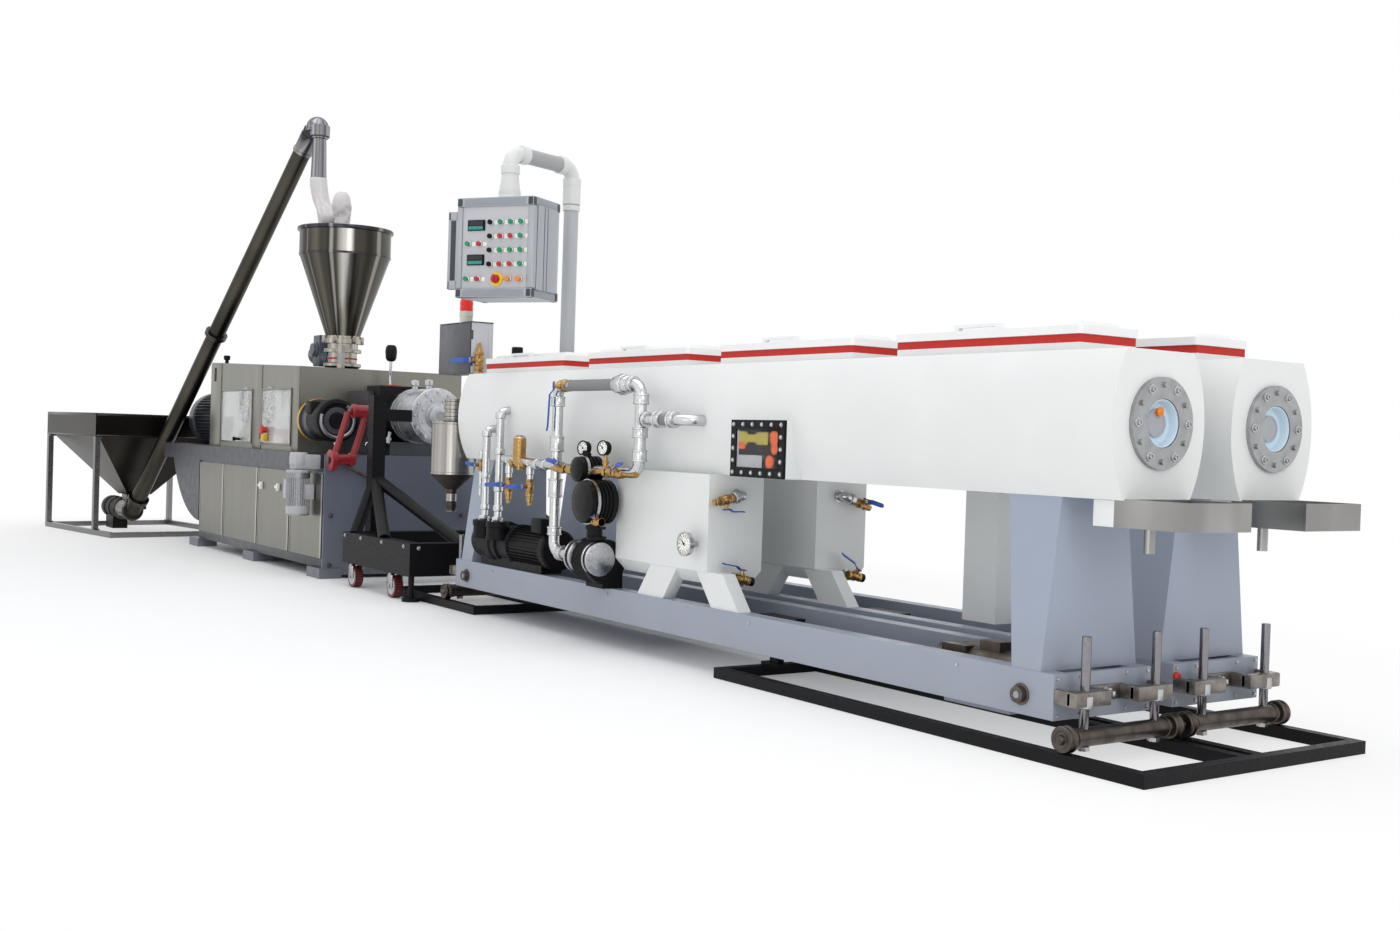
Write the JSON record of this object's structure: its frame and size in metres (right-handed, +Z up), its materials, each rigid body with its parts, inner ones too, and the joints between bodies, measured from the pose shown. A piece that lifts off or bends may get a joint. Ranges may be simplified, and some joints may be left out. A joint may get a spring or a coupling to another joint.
{
  "type": "plastic pipe extrusion line",
  "caption": "Pipe extrusion line: screw loader, twin-screw extruder, die stand and two vacuum calibration tanks that roll on floor rails.",
  "frame": {"origin": "middle of the line's floor area, on the floor", "axes": "+X along the line from the loader towards the discharge end, +Y away from the operator's side, +Z up"},
  "size_m": [11.0394, 1.8584, 3.108],
  "materials": {
    "tank_white": "gloss",
    "lid_white": "gloss",
    "seal_red": "matt",
    "flange_steel": "satin",
    "blue_grey_paint": "satin",
    "black_paint": "satin",
    "bright_steel": "brushed",
    "zinc_steel": "satin",
    "warm_grey_paint": "satin",
    "pvc_grey": "satin",
    "white_plastic": "satin",
    "dark_grey_paint": "satin",
    "panel_grey": "satin",
    "red_paint": "satin",
    "motor_silver": "satin",
    "white_cloth": "matt"
  },
  "bodies": {
    "line_base": {"rail_frames": "black_paint", "extruder_base": "blue_grey_paint", "base_panels": "warm_grey_paint", "drive_table": "dark_grey_paint", "drive_motor": "black_paint", "drive_guard": "warm_grey_paint", "gearbox": "dark_grey_paint", "barrel": "bright_steel", "feeder": "bright_steel", "feed_hopper": "bright_steel", "hanging_motor": "motor_silver", "link_arms": "red_paint", "die_trolley": "black_paint", "loader_frame": "blue_grey_paint", "loader_hopper": "bright_steel", "loader_drive": "black_paint", "loader_tube": "bright_steel", "discharge_sleeve": "white_cloth"},
    "tank_1": {"tank_1_shell": "tank_white", "tank_1_end_flanges": "flange_steel", "tank_1_lid_seals": "seal_red", "tank_1_base": "blue_grey_paint", "tank_1_height_posts": "zinc_steel", "tank_1_leadscrew": "blue_grey_paint", "tank_1_water_box": "tank_white", "tank_1_drip_tray": "bright_steel", "inspection_window": "black_paint", "vacuum_pipework": "bright_steel", "vacuum_pump": "black_paint", "water_filters": "black_paint", "separator_pot": "bright_steel", "junction_box": "dark_grey_paint", "panel_post": "pvc_grey"},
    "tank_1_lid_1": {"tank_1_lid_1": "lid_white"},
    "tank_1_lid_2": {"tank_1_lid_2": "lid_white"},
    "tank_1_lid_3": {"tank_1_lid_3": "lid_white"},
    "tank_1_lid_4": {"tank_1_lid_4": "lid_white"},
    "tank_2": {"tank_2_shell": "tank_white", "tank_2_end_flanges": "flange_steel", "tank_2_lid_seals": "seal_red", "tank_2_base": "blue_grey_paint", "tank_2_height_posts": "zinc_steel", "tank_2_leadscrew": "blue_grey_paint", "tank_2_water_box": "tank_white", "tank_2_drip_tray": "bright_steel"},
    "tank_2_lid_1": {"tank_2_lid_1": "lid_white"},
    "tank_2_lid_2": {"tank_2_lid_2": "lid_white"},
    "tank_2_lid_3": {"tank_2_lid_3": "lid_white"},
    "tank_2_lid_4": {"tank_2_lid_4": "lid_white"},
    "panel_arm": {"panel_arm": "white_plastic"},
    "control_panel": {"control_panel": "panel_grey"}
  },
  "joints": [
    {"name": "tank_1_travel", "type": "slide", "parent": "line_base", "child": "tank_1", "axis": [1, 0, 0], "range_m": [-0.08, 0.2]},
    {"name": "tank_1_lid_1_hinge", "type": "hinge", "parent": "tank_1", "child": "tank_1_lid_1", "pos_m": [1.58865, 0.15975, 1.2615], "axis": [-1, 0, 0], "range_deg": [0, 80]},
    {"name": "tank_1_lid_2_hinge", "type": "hinge", "parent": "tank_1", "child": "tank_1_lid_2", "pos_m": [2.62665, 0.15975, 1.2615], "axis": [-1, 0, 0], "range_deg": [0, 80]},
    {"name": "tank_1_lid_3_hinge", "type": "hinge", "parent": "tank_1", "child": "tank_1_lid_3", "pos_m": [3.66465, 0.15975, 1.2615], "axis": [-1, 0, 0], "range_deg": [0, 80]},
    {"name": "tank_1_lid_4_hinge", "type": "hinge", "parent": "tank_1", "child": "tank_1_lid_4", "pos_m": [4.70265, 0.15975, 1.2615], "axis": [-1, 0, 0], "range_deg": [0, 80]},
    {"name": "tank_2_travel", "type": "slide", "parent": "line_base", "child": "tank_2", "axis": [1, 0, 0], "range_m": [-0.08, 0.2]},
    {"name": "tank_2_lid_1_hinge", "type": "hinge", "parent": "tank_2", "child": "tank_2_lid_1", "pos_m": [1.58865, 0.70275, 1.2615], "axis": [-1, 0, 0], "range_deg": [0, 80]},
    {"name": "tank_2_lid_2_hinge", "type": "hinge", "parent": "tank_2", "child": "tank_2_lid_2", "pos_m": [2.62665, 0.70275, 1.2615], "axis": [-1, 0, 0], "range_deg": [0, 80]},
    {"name": "tank_2_lid_3_hinge", "type": "hinge", "parent": "tank_2", "child": "tank_2_lid_3", "pos_m": [3.66465, 0.70275, 1.2615], "axis": [-1, 0, 0], "range_deg": [0, 80]},
    {"name": "tank_2_lid_4_hinge", "type": "hinge", "parent": "tank_2", "child": "tank_2_lid_4", "pos_m": [4.70265, 0.70275, 1.2615], "axis": [-1, 0, 0], "range_deg": [0, 80]},
    {"name": "panel_arm_swivel", "type": "hinge", "parent": "tank_1", "child": "panel_arm", "pos_m": [1.31465, 0.29975, 2.108], "axis": [0, 0, 1], "range_deg": [-35, 90]},
    {"name": "control_panel_swivel", "type": "hinge", "parent": "panel_arm", "child": "control_panel", "pos_m": [1.47565, -0.14125, 2.057], "axis": [0, 0, 1], "range_deg": [-90, 90]}
  ]
}
